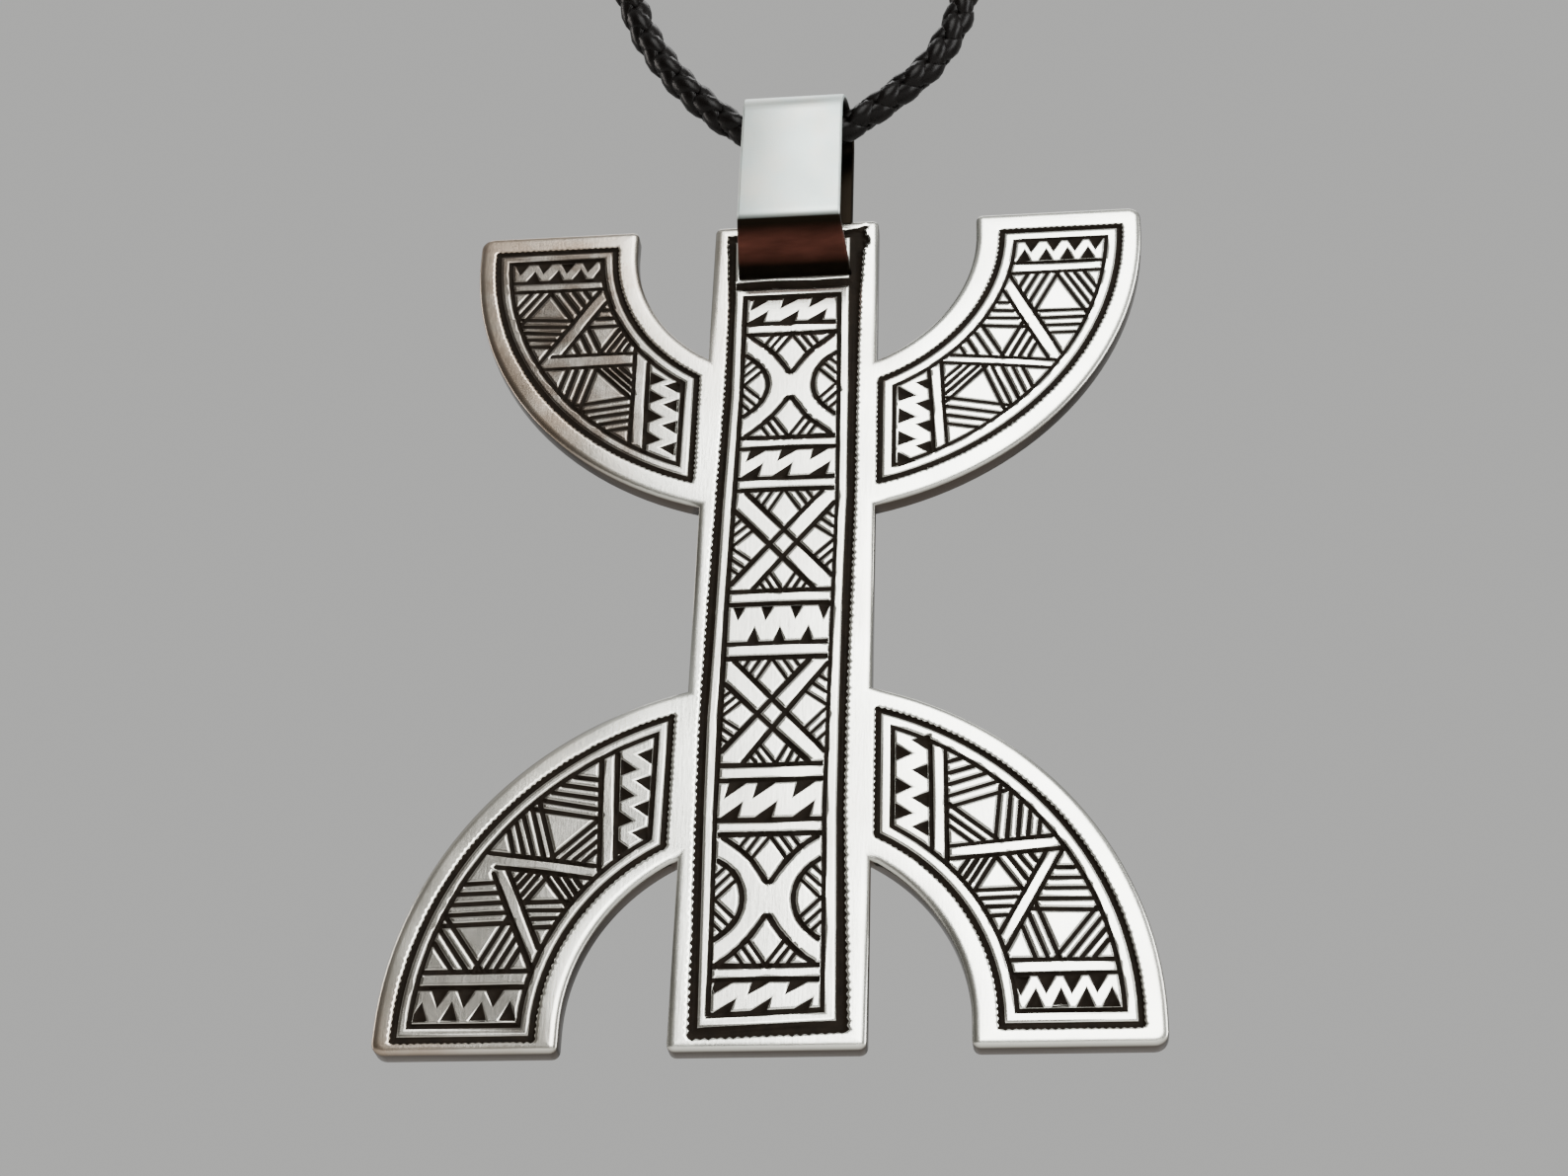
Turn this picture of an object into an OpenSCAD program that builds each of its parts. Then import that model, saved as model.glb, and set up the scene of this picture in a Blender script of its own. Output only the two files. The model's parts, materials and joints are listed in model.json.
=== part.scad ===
// Pendant necklace: an engraved silver plate with a strip bail, on a leather cord, in its worn form.
// Front is -Y and up is +Z. The origin is on the inner side of the clasp, where the loop sits on the nape.

/* [Plate] */
// Height of the plate, top edge to bottom edge
plate_h = 64.4; // [60:0.1:70]
// Thickness of the sheet
plate_t = 1.4; // [1:0.1:2]
// Width of the upright bar
bar_w = 12; // [11:0.1:13]
// Radius of the rounded outer tip corners
tip_round = 0.9; // [0.5:0.1:1.4]
// Radius of the other rounded corners
corner_round = 0.5; // [0.3:0.1:0.8]

/* [Arms] */
// Outer radius of the two arms that curve up
upper_outer_r = 24.2; // [23.5:0.1:25]
// Outer radius of the two arms that curve down
lower_outer_r = 23.9; // [23.5:0.1:25]
// Inner radius of all four arms
inner_r = 12.4; // [11.5:0.1:13]
// Straight run from an arm's circle centre to its tip
tip_run = 1.7; // [1:0.1:2.5]
// How far the upper pair sits to the right of the bar's middle
upper_shift = 0.7; // [0:0.1:1]
// How far the lower pair sits to the right of the bar's middle
lower_shift = -0.2; // [-0.5:0.1:0.5]

/* [Engraving] */
// Depth of the border grooves
groove_depth = 0.3; // [0.1:0.05:0.5]
// Width of the border grooves
groove_w = 0.7; // [0.4:0.1:1]
// Plain margin between an arm's rim and its field
arm_margin = 1.4; // [1:0.1:2]
// Plain margin between the bar's rim and its field
bar_margin = 1.1; // [0.8:0.1:1.5]
// Distance from the middle of the bar to the arms' fields
arm_field_x = 6.4; // [6.1:0.1:7]

/* [Bail] */
// Thickness of the bail's strip
strip_t = 0.5; // [0.4:0.05:0.8]
// Inside depth of the bail, back leg to front leg
bail_gap = 4.5; // [4.4:0.1:5]
// Height of the arch's centre over the plate's top edge
arch_rise = 6.7; // [6:0.1:8]
// Width of the strip at the front
bail_front_w = 7.3; // [6.5:0.1:8]
// Width of the strip at the back
bail_back_w = 8.2; // [8:0.1:9.5]
// Distance of the front fold below the plate's top edge
fold_drop = 4; // [2.5:0.1:4.5]
// Distance of the soldered foot below the plate's top edge
foot_drop = 5.1; // [4.5:0.1:6]
// How far the plate's plane leans from upright as it hangs
hang_lean = 4; // [0:0.5:8]

/* [Cord and clasp] */
// Diameter of the braided cord
cord_d = 2.4; // [2:0.1:2.6]
// Diameter of the clasp's barrel
clasp_d = 4.6; // [4.4:0.1:6]
// Length of the clasp's barrel
clasp_l = 16; // [14:1:20]
// Radial room for the cord in the clasp
clasp_room = 0.2; // [0.1:0.05:0.3]
// Depth of each socket in the clasp
socket_depth = 5; // [4:0.5:6]

/* [Hidden] */
$fn = 96;
over = 1;          // how far a cutter runs past what it cuts
sunk = 0.1;        // how far soldered pieces run into each other
bail_r = bail_gap / 2;
top_z = plate_h / 2;
arch_z = top_z + arch_rise;

// The swing axis: the centre of the bail's arch, which the cord passes through.
hinge = [0, -110, -148];

// The cord's route through the bail and round the neck, from the clasp's left socket to its right one.
cord_route = [
    [-3.5, 2.3, 0], [-9, 2.3, 0], [-18, 0.5, -0.2], [-28, -3.5, -1], [-41, -11.5, -3], [-51, -23, -7],
    [-57, -38, -14], [-57.5, -55, -24], [-53.5, -73, -39.5], [-46, -88, -59], [-36, -99, -80.5],
    [-25.5, -106.5, -103.5], [-18, -109.5, -121.5], [-13.5, -110, -133],
    [-12, -110, -137.2], [-9.8, -110, -141.2], [-7.2, -110, -144.5], [-4.6, -110, -147], [-2.4, -110, -148.3],
    [0, -110, -148.7],
    [2.4, -110, -148.3], [4.6, -110, -147], [7.4, -110, -144.7], [10, -110, -142],
    [12, -110, -138], [13.2, -110, -133], [17.5, -109.5, -121.5], [25.5, -106.5, -103.5],
    [36, -99, -80.5], [46, -88, -59], [53.5, -73, -39.5], [57.5, -55, -24], [57, -38, -14],
    [51, -23, -7], [41, -11.5, -3], [28, -3.5, -1], [18, 0.5, -0.2], [9, 2.3, 0], [3.5, 2.3, 0]
];
cord_sides = 8;
ring_step = 7.5;   // longest distance between two rings of the cord's tube
across = [0, 1, -1]; // a direction that the route never runs along

// A point between p1 and p2 on the smooth curve through the route.
function between(p0, p1, p2, p3, t) =
    0.5 * ((2 * p1) + (p2 - p0) * t + (2 * p0 - 5 * p1 + 4 * p2 - p3) * t * t
    + (3 * p1 - p0 - 3 * p2 + p3) * t * t * t);
function at(points, i) = points[max(0, min(len(points) - 1, i))];
function steps(points, i) = max(1, round(norm(points[i + 1] - points[i]) / ring_step));
function smooth(points) = concat(
    [for (i = [0 : len(points) - 2]) for (k = [0 : steps(points, i) - 1])
        between(at(points, i - 1), points[i], points[i + 1], at(points, i + 2), k / steps(points, i))],
    [points[len(points) - 1]]);
function unit(v) = v / norm(v);
function heading(points, i) = unit(at(points, i + 1) - at(points, i - 1));
function ring(points, i, r, sides) =
    let (
        ahead = heading(points, i),
        u = unit(across - (across * ahead) * ahead),
        v = cross(ahead, u)
    )
    [for (k = [0 : sides - 1])
        let (turn = 360 * (k + 0.5) / sides)
        points[i] + r * (cos(turn) * u + sin(turn) * v)];

// A closed tube of flat faces along a list of points.
module tube(points, d, sides) {
    last = len(points) - 1;
    polyhedron(
        points = [for (i = [0 : last]) each ring(points, i, d / 2, sides)],
        faces = concat(
            [[for (k = [0 : sides - 1]) k]],
            [for (i = [0 : last - 1]) for (k = [0 : sides - 1])
                let (a = i * sides + k, b = i * sides + (k + 1) % sides)
                each [[a, a + sides, b], [b, a + sides, b + sides]]],
            [[for (k = [sides - 1 : -1 : 0]) last * sides + k]]
        )
    );
}

// The corner of a square at the origin, towards +X and +Y, outside a rounding of radius r.
module corner_cut(r) {
    difference() {
        translate([-over, -over]) square(r + over);
        translate([r, r]) circle(r);
        translate([r, -over]) square([over, 2 * over + r]);
    }
}

// A quarter ring right of its centre and below it, with a straight run up to its tip.
module quarter_ring(outer_r, hole_r, run) {
    difference() {
        union() {
            intersection() {
                circle(outer_r);
                translate([0, -outer_r]) square(outer_r);
            }
            square([outer_r, run]);
        }
        circle(hole_r);
        translate([-over, 0]) square([hole_r + over, run + over]);
    }
}

// One arm that curves up to the right of the bar, with rounded tip corners.
module arm(outer_r, shift) {
    translate([shift, top_z - tip_run]) difference() {
        quarter_ring(outer_r, inner_r, tip_run);
        translate([outer_r, tip_run]) rotate(180) corner_cut(tip_round);
        translate([inner_r, tip_run]) rotate(-90) corner_cut(corner_round);
    }
}

// The engraved field of an arm, drawn in from its border by inset.
module arm_field(outer_r, shift, inset) {
    reach = arm_margin + inset;
    intersection() {
        translate([shift, top_z - tip_run])
            quarter_ring(outer_r - reach, inner_r + reach, tip_run - reach);
        translate([arm_field_x + inset, -plate_h]) square([plate_h, 2 * plate_h]);
    }
}

// The engraved field of the bar, drawn in from its border by inset.
module bar_field(inset) {
    reach = bar_margin + inset;
    translate([-bar_w / 2 + reach, -top_z + reach]) square([bar_w - 2 * reach, plate_h - 2 * reach]);
}

module bar() {
    difference() {
        translate([-bar_w / 2, -top_z]) square([bar_w, plate_h]);
        for (x = [0, 1], z = [0, 1]) mirror([x, 0]) mirror([0, z])
            translate([-bar_w / 2, -top_z]) corner_cut(corner_round);
    }
}

// The plate's outline: the bar, two arms that curve up and two that curve down.
module outline() {
    bar();
    arm(upper_outer_r, upper_shift);
    mirror([1, 0]) arm(upper_outer_r, -upper_shift);
    mirror([0, 1]) arm(lower_outer_r, lower_shift);
    mirror([0, 1]) mirror([1, 0]) arm(lower_outer_r, -lower_shift);
}

// The border grooves of the five engraved fields.
module borders() {
    difference() {
        bar_field(0);
        bar_field(groove_w);
    }
    for (side = [[upper_outer_r, upper_shift, 0], [lower_outer_r, lower_shift, 1]], left = [0, 1])
        mirror([0, side[2]]) mirror([left, 0]) difference() {
            arm_field(side[0], side[1] * (1 - 2 * left), 0);
            arm_field(side[0], side[1] * (1 - 2 * left), groove_w);
        }
}

// A flat piece standing in the XZ plane, from y = front to y = back.
module upright(front, back) {
    translate([0, back, 0]) rotate([90, 0, 0]) linear_extrude(back - front) children();
}

module plate() {
    difference() {
        upright(0, plate_t) outline();
        upright(-over, groove_depth) borders();
    }
}

// The strip's side view with the plate's front face at x = 0 and the front of the bail at negative x.
module bail_profile() {
    fold_z = top_z - fold_drop;
    foot_z = top_z - foot_drop;
    fold_r = 2 * strip_t;
    front_x = -bail_gap - strip_t;
    rise = atan2(fold_z - foot_z, bail_gap + strip_t - fold_r);
    translate([-bail_r, arch_z]) difference() {
        circle(bail_r + strip_t);
        circle(bail_r);
        translate([-bail_gap, -bail_gap]) square([2 * bail_gap, bail_gap]);
    }
    translate([0, top_z - sunk]) square([strip_t, arch_rise + sunk]);
    translate([front_x, fold_z + fold_r]) square([strip_t, arch_z - fold_z - fold_r]);
    translate([front_x + fold_r, fold_z + fold_r]) intersection() {
        difference() {
            circle(fold_r);
            circle(fold_r - strip_t);
        }
        rotate(-rise) translate([-2 * fold_r, -2 * fold_r]) square([2 * fold_r, 2 * fold_r]);
        translate([-2 * fold_r, -2 * fold_r]) square([3 * fold_r, 2 * fold_r]);
    }
    translate([front_x + fold_r, fold_z + fold_r]) rotate(-rise)
        translate([0, -fold_r]) square([(bail_gap + strip_t - fold_r) / cos(rise) + sunk, strip_t]);
}

// The bent strip, narrower at the front than at the back.
module bail() {
    front_y = -bail_gap - strip_t;
    intersection() {
        rotate([90, 0, 90]) translate([0, 0, -bail_back_w / 2]) linear_extrude(bail_back_w) bail_profile();
        translate([0, 0, top_z - 2 * foot_drop]) linear_extrude(plate_h) polygon([
            [-bail_front_w / 2, front_y], [bail_front_w / 2, front_y],
            [bail_back_w / 2, 0], [bail_back_w / 2, plate_t],
            [-bail_back_w / 2, plate_t], [-bail_back_w / 2, 0]
        ]);
    }
}

// The plate with its bail soldered on, hanging from the swing axis.
module pendant() {
    color([0.80, 0.81, 0.78])
        translate(hinge) rotate([-hang_lean, 0, 0]) translate([0, bail_r, -arch_z]) union() {
            plate();
            bail();
        }
}

module cord() {
    color([0.06, 0.05, 0.05]) tube(smooth(cord_route), cord_d, cord_sides);
}

// The barrel that holds both ends of the cord at the nape.
module clasp() {
    color([0.70, 0.70, 0.68]) translate([0, clasp_d / 2, 0]) rotate([0, 90, 0]) difference() {
        cylinder(h = clasp_l, d = clasp_d, center = true);
        for (end = [0, 1]) mirror([0, 0, end])
            translate([0, 0, clasp_l / 2 - socket_depth])
                cylinder(h = socket_depth + over, r = cord_d / 2 + clasp_room);
    }
}

pendant();
cord();
clasp();
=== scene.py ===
"""The looks of an engraved silver pendant that hangs on a braided leather cord.

Sizes are in millimetres, and MM turns them into the metres of the scene.
The pendant's own coordinates have x to the right, y to the back from the plate's front face,
and z up from the middle of the upright bar. PENDANT places them in the frame.
"""
import json
import math
import random

import bpy
import numpy as np
from mathutils import Matrix, Vector
from mathutils.geometry import delaunay_2d_cdt, intersect_line_line_2d


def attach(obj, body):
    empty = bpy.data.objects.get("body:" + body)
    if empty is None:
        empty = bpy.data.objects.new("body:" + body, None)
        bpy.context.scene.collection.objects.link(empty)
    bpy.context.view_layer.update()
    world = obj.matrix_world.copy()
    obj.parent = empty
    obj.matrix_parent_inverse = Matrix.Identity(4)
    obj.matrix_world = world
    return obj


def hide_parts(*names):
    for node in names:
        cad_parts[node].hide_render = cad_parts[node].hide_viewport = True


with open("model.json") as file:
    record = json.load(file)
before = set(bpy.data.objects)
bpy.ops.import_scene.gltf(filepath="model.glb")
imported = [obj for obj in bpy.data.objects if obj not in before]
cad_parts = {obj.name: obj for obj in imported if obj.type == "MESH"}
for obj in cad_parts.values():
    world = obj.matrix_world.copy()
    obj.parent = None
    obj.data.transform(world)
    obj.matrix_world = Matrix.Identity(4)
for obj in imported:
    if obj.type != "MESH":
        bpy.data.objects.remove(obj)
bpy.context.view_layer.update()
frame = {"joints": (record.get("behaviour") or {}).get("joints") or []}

MM = 0.001
TURN = 2 * math.pi

# Plate
PLATE_H = 64.4
PLATE_T = 1.4
BAR_W = 12.0
TIP_ROUND = 0.9
CORNER_ROUND = 0.5
UPPER_OUTER_R = 24.2
LOWER_OUTER_R = 23.9
INNER_R = 12.4
TIP_RUN = 1.7
UPPER_SHIFT = 0.7      # how far the upper arms sit to the right of the bar's middle
LOWER_SHIFT = -0.2     # the same for the lower arms
TOP_Z = PLATE_H / 2
RIM_WIDE = 0.52        # the front edge's rounding, across the plate's face
RIM_DEEP = 0.26        # the same, through the plate's thickness
BACK_ROUND = 0.2

# Bail
STRIP_T = 0.5
BAIL_GAP = 4.5
BAIL_R = BAIL_GAP / 2
ARCH_Z = TOP_Z + 6.7
BAIL_FRONT_W = 7.3
BAIL_BACK_W = 8.2
FOLD_DROP = 4.0
FOOT_DROP = 5.1
HANG_LEAN = math.radians(4)

# Cord and clasp
CORD_D = 2.4
CLASP_D = 4.6
CLASP_L = 16.0
SOCKET_DEPTH = 5.0
SOCKET_ROOM = 0.2

HINGE = Vector(frame["joints"][0]["pos_m"])
PENDANT = (Matrix.Translation(HINGE) @ Matrix.Rotation(-HANG_LEAN, 4, "X")
           @ Matrix.Scale(MM, 4) @ Matrix.Translation((0, BAIL_R, -ARCH_Z)))

# The camera, in the pendant's coordinates
CAMERA_AT = Vector((18.1, -136.6, -88.7))
CAMERA_AHEAD = Vector((-0.110, 0.833, 0.543))
CAMERA_RIGHT = Vector((0.993, 0.111, 0.032))
CAMERA_LENS = 56.8

# The cord's route on the right from the clasp's socket to the chest, and then, from the left, the stretch
# that hangs through the bail
UPPER_ROUTE = [
    (3.5, 2.3, 0), (9, 2.3, 0), (18, 0.5, -0.2), (28, -3.5, -1), (41, -11.5, -3), (51, -23, -7),
    (57, -38, -14), (57.5, -55, -24), (53.5, -73, -39.5), (46, -88, -59), (36, -99, -80.5),
    (25.5, -106.5, -103.5),
]
LOWER_ROUTE = [
    (-18, -109.5, -121.5), (-13.5, -110, -133), (-12, -110, -137.2), (-9.8, -110, -141.2),
    (-7.2, -110, -144.5), (-4.6, -110, -147), (-2.4, -110, -148.3), (0, -110, -148.7),
    (2.4, -110, -148.3), (4.6, -110, -147), (7.4, -110, -144.7), (10, -110, -142),
    (12, -110, -138), (13.2, -110, -133), (17.5, -109.5, -121.5),
]
CORD_ROUTE = [(-x, y, z) for x, y, z in UPPER_ROUTE] + LOWER_ROUTE + UPPER_ROUTE[::-1]


# Meshes
def mesh_object(name, points, faces, place=None):
    """A new object of those points, in millimetres, moved by place or only scaled to metres."""
    place = place or Matrix.Scale(MM, 4)
    mesh = bpy.data.meshes.new(name)
    mesh.from_pydata([place @ Vector(p) for p in points], [], faces)
    mesh.polygons.foreach_set("use_smooth", [True] * len(mesh.polygons))
    mesh.validate()
    obj = bpy.data.objects.new(name, mesh)
    bpy.context.scene.collection.objects.link(obj)
    return obj


def paint(obj, **fields):
    """Numbers on an object's points, which its material reads by name."""
    for name, values in fields.items():
        layer = obj.data.attributes.new(name, "FLOAT", "POINT")
        layer.data.foreach_set("value", np.array(values, np.float32))


def skin(rings):
    """Points and faces of a closed tube through rings of equal count."""
    count = len(rings[0])
    points = [p for ring in rings for p in ring]
    faces = []
    for i in range(len(rings) - 1):
        for k in range(count):
            a, b = i * count + k, i * count + (k + 1) % count
            faces.append((a, b, b + count, a + count))
    last = (len(rings) - 1) * count
    faces.append(tuple(range(count))[::-1])
    faces.append(tuple(range(last, last + count)))
    return points, faces


# Camera
def make_camera():
    turn = PENDANT.to_3x3().normalized()
    back = -(turn @ CAMERA_AHEAD).normalized()
    right = (turn @ CAMERA_RIGHT).normalized()
    up = back.cross(right).normalized()
    right = up.cross(back)
    data = bpy.data.cameras.new("camera")
    data.lens = CAMERA_LENS
    data.sensor_width = 36
    data.clip_start = 0.01
    camera = bpy.data.objects.new("camera", data)
    place = Matrix((right, up, back)).transposed().to_4x4()
    place.translation = PENDANT @ CAMERA_AT
    camera.matrix_world = place
    bpy.context.scene.collection.objects.link(camera)
    bpy.context.scene.camera = camera


make_camera()


# The braided cord
STRAND_PITCH = 5.2     # length in which a strand goes once round the cord
STRAND_WIDE = 0.84     # half the width of a lace
STRAND_THICK = 0.24    # half the thickness of a lace
STRAND_OVER = 0.96     # distance of a lace's middle from the cord's, where it lies on top
STRAND_UNDER = 0.7     # the same where it passes under
STRAND_SIDES = 10
STATION = 0.42         # distance between two sections of a lace
ROUTE_PARTS = 40       # points on the curve between two points of the route
CORE_R = 0.5
CORE_SIDES = 6
CORE_STRIDE = 4        # stations between two sections of the core


def between(p0, p1, p2, p3, t):
    """A point between p1 and p2 on the smooth curve through the four."""
    return 0.5 * (2 * p1 + (p2 - p0) * t + (2 * p0 - 5 * p1 + 4 * p2 - p3) * t ** 2
                  + (3 * p1 - p0 - 3 * p2 + p3) * t ** 3)


def even_line(points, step):
    """Points about a step apart on the smooth curve through the given ones, with the distance run."""
    route = [np.array(p, float) for p in points]
    route = [route[0]] + route + [route[-1]]
    fine = [between(*route[i:i + 4], k / ROUTE_PARTS)
            for i in range(len(route) - 3) for k in range(ROUTE_PARTS)]
    fine = np.array(fine + [route[-1]])
    run = np.concatenate([[0], np.cumsum(np.linalg.norm(np.diff(fine, axis=0), axis=1))])
    count = round(run[-1] / step)
    at = np.linspace(0, run[-1], count + 1)
    return np.stack([np.interp(at, run, fine[:, c]) for c in range(3)], axis=1), at


def carried_frames(line):
    """A heading and two crosswise directions at each point, carried along the line without twist."""
    heading = np.gradient(line, axis=0)
    heading /= np.linalg.norm(heading, axis=1)[:, None]
    first = np.cross(heading[0], (0, 0, 1.0))
    normals = [first / np.linalg.norm(first)]
    for h in heading[1:]:
        n = normals[-1] - h * (normals[-1] @ h)
        normals.append(n / np.linalg.norm(n))
    normals = np.array(normals)
    return heading, normals, np.cross(heading, normals)


def lace(line, run, frames, way, start):
    """The sections of one lace, which bend round the cord. way is 1 or -1, the sense in which it winds."""
    heading, normal, binormal = frames
    swell = (STRAND_OVER - STRAND_UNDER) / 2
    turn = way * TURN * run / STRAND_PITCH
    angle = (turn + start)[:, None]
    reach = ((STRAND_OVER + STRAND_UNDER) / 2 + way * swell * np.cos(2 * turn))[:, None]
    out = np.cos(angle) * normal + np.sin(angle) * binormal
    round_about = -np.sin(angle) * normal + np.cos(angle) * binormal
    middle = line + reach * out
    ahead = heading + reach * way * TURN / STRAND_PITCH * round_about
    wide = np.cross(ahead, out)
    wide /= np.linalg.norm(wide, axis=1)[:, None]
    section = [TURN * k / STRAND_SIDES for k in range(STRAND_SIDES)]
    lean = 1 / (1 + (reach * TURN / STRAND_PITCH) ** 2)
    curl = lean / (2 * reach)
    rings = []
    for i in range(len(line)):
        ring = []
        for a in section:
            across, rise = STRAND_WIDE * math.cos(a), STRAND_THICK * math.sin(a)
            ring.append(middle[i] + across * wide[i] + (rise - curl[i] * across ** 2) * out[i])
        rings.append(ring)
    return rings


def make_cord():
    """A core with four laces round it, two winding each way."""
    line, run = even_line(CORD_ROUTE, STATION)
    frames = carried_frames(line)
    points, faces = [], []
    core = [[line[i] + CORE_R * (math.cos(a) * frames[1][i] + math.sin(a) * frames[2][i])
             for a in (TURN * k / CORE_SIDES for k in range(CORE_SIDES))]
            for i in range(0, len(line), CORE_STRIDE)]
    parts = [skin(core)]
    for way in (1, -1):
        for half in (0, 1):
            parts.append(skin(lace(line, run, frames, way, half * math.pi)))
    for part_points, part_faces in parts:
        first = len(points)
        points += part_points
        faces += [tuple(first + k for k in face) for face in part_faces]
    return mesh_object("braided_cord", points, faces)


# The plate's outline
def arc(centre, radius, start, end, step=2.5):
    """Points on an arc in degrees, both ends included."""
    count = max(1, math.ceil(abs(end - start) / step))
    angles = [math.radians(start + (end - start) * k / count) for k in range(count + 1)]
    return [(centre[0] + radius * math.cos(a), centre[1] + radius * math.sin(a)) for a in angles]


def drop_angle(radius, shift, x):
    """The angle below its centre at which an arm's circle meets the line at x."""
    return -math.degrees(math.acos((x - shift) / radius))


def arm_side(outer_r, shift):
    """The outline of the arm that curves up to the right, from the bar round its tip to the bar."""
    cx, cz = shift, TOP_Z - TIP_RUN
    edge = BAR_W / 2
    inner, outer = cx + INNER_R, cx + outer_r
    return (arc((cx, cz), INNER_R, drop_angle(INNER_R, shift, edge), 0)
            + arc((inner + CORNER_ROUND, TOP_Z - CORNER_ROUND), CORNER_ROUND, 180, 90, 18)
            + arc((outer - TIP_ROUND, TOP_Z - TIP_ROUND), TIP_ROUND, 90, 0, 15)
            + arc((cx, cz), outer_r, 0, drop_angle(outer_r, shift, edge)))


def plate_outline():
    """The plate's outline, clockwise seen from the front."""
    halves = []
    for way in (1, -1):
        corner = arc((BAR_W / 2 - CORNER_ROUND, TOP_Z - CORNER_ROUND), CORNER_ROUND, 90, 0, 18)
        upper = arm_side(UPPER_OUTER_R, way * UPPER_SHIFT)
        lower = arm_side(LOWER_OUTER_R, way * LOWER_SHIFT)
        half = (corner + upper + [(x, -z) for x, z in reversed(lower)]
                + [(x, -z) for x, z in reversed(corner)])
        halves.append([(way * x, z) for x, z in half])
    return [Vector(p) for p in halves[0] + halves[1][::-1]]


def shifted(line, distance, closed=True):
    """The line moved to its right-hand side, by one distance or by one for each point."""
    count = len(line)
    each = distance if hasattr(distance, "__len__") else [distance] * count
    moved = []
    for i, p in enumerate(line):
        before = line[i - 1] if closed or i else p
        after = line[(i + 1) % count] if closed or i < count - 1 else p
        ways = [d.normalized() for d in (p - before, after - p) if d.length > 1e-6]
        sides = [Vector((d.y, -d.x)) for d in ways]
        mitre = sum(sides, Vector((0, 0))) / (1 + sides[0].dot(sides[-1])) if len(sides) > 1 else sides[0]
        moved.append(p + each[i] * mitre)
    return moved


# The engraving. Its heights are charted from a line that runs CHART_RISE below the bar's middle.
CHART_RISE = 6.36
CUT_LIMIT = 0.26       # depth of the widest cuts
INK_DEPTH = 0.1        # depth from which a cut is quite black
MISSED_DEPTH = 0.04    # a triangle whose middle is this much deeper than its corners gets a point there
CUT_SLOPE = 1.3        # rise of a cut's wall for each millimetre from its edge
WALL = CUT_LIMIT / CUT_SLOPE
SHOULDER = 0.16        # width of the rounding beside a cut
LINE_W = 0.41
FINE_W = 0.28          # the same for the strokes between the bar's lines
NOSE = 0.4             # length of a cut's pointed end, as a share of its width
OVERRUN = 0.1          # how far a stroke runs past its end where it meets no line
DRAWN_OUT = 1.3        # how far a stroke may be drawn out to meet a line
RIB_DRAWN_OUT = 1.1    # the same for the lines beside a plain strip
WAVER = 0.035          # how far the hand strays from a charted place
CURVE_PARTS = 4        # parts of a curved cut between two charted places
HAND = random.Random(11)

cuts = []    # the closed outlines of each cut
spines = []  # lines along the bottoms of the cuts


def wavered(p):
    return Vector((p[0] + HAND.uniform(-WAVER, WAVER), p[1] + HAND.uniform(-WAVER, WAVER)))


def resampled(line, step, closed=True):
    """Points a step apart along a line."""
    loop = list(line) + ([line[0]] if closed else [])
    run = np.concatenate([[0], np.cumsum([(b - a).length for a, b in zip(loop, loop[1:])])])
    count = max(2, round(run[-1] / step))
    at = np.linspace(0, run[-1], count + 1)[:count if closed else None]
    xs = np.interp(at, run, [p.x for p in loop])
    ys = np.interp(at, run, [p.y for p in loop])
    return [Vector(p) for p in zip(xs, ys)]


def bent(points):
    """More points on the smooth curve through the given ones."""
    route = [Vector(p) for p in (points[0], *points, points[-1])]
    fine = [between(*route[i:i + 4], k / CURVE_PARTS)
            for i in range(len(route) - 3) for k in range(CURVE_PARTS)]
    return fine + [route[-1]]


def groove(points, width=LINE_W, curved=False):
    """A cut of a graver along a line, with pointed ends."""
    line = [wavered(p) for p in points]
    if curved:
        line = bent(line)
    ends = []
    for tip, following in ((line[0], line[1]), (line[-1], line[-2])):
        ends.append(tip.lerp(following, min(0.5, width * NOSE / (following - tip).length)))
    body = [ends[0]] + line[1:-1] + [ends[1]]
    half = [width / 2 * HAND.uniform(0.88, 1.12) for _ in body]
    right = shifted(body, half, closed=False)
    left = shifted(body, [-h for h in half], closed=False)
    cuts.append([[line[0]] + left + [line[-1]] + right[::-1]])
    spines.append((body, False))


def wedge(left, right, tip):
    """A three-cornered cut."""
    corners = [wavered(p) for p in (left, right, tip)]
    sides = [(corners[1] - corners[2]).length, (corners[2] - corners[0]).length,
             (corners[0] - corners[1]).length]
    middle = sum((s * c for s, c in zip(sides, corners)), Vector((0, 0))) / sum(sides)
    area = abs((corners[1] - corners[0]).cross(corners[2] - corners[0])) / 2
    inner = 2 * area / sum(sides)
    cuts.append([corners])
    if inner > WALL:
        spines.append(([middle + (c - middle) * (1 - WALL / inner) for c in corners], True))
    else:
        spines.append(([middle], False))


def sides_of(loop):
    """The sides of a closed line."""
    return list(zip(loop, loop[1:] + loop[:1]))


def met(start, end, walls, most=DRAWN_OUT):
    """The end of a stroke, moved to where the stroke meets the nearest wall, if there is one near."""
    way = (end - start).normalized()
    back = min(most, 0.6 * (end - start).length)
    hits = [intersect_line_line_2d(end - way * back, end + way * most, a, b) for a, b in walls]
    hits = [Vector(hit) for hit in hits if hit]
    return min(hits, key=lambda hit: (hit - end).length) if hits else end + way * OVERRUN


def hatch(corner, end_a, end_b, count, walls, width, spare=0.35):
    """Parallel strokes across a corner, the first from end_a to end_b and the rest nearer the corner.
    spare is the room left in the corner, in strokes."""
    corner, end_a, end_b = Vector(corner), Vector(end_a), Vector(end_b)
    for k in range(count):
        share = 1 - k / (count + spare)
        a, b = corner.lerp(end_a, share), corner.lerp(end_b, share)
        groove([met(b, a, walls), met(a, b, walls)], width)


def hatched_triangle(corners, inner, counts, walls, width):
    """A triangle with a plain triangle in its middle and strokes across each corner. The plain one has
    its first corner between the first and second corners of the other, and so on."""
    for i, count in enumerate(counts):
        hatch(corners[i], inner[i - 1], inner[i], count, walls, width)


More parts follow.
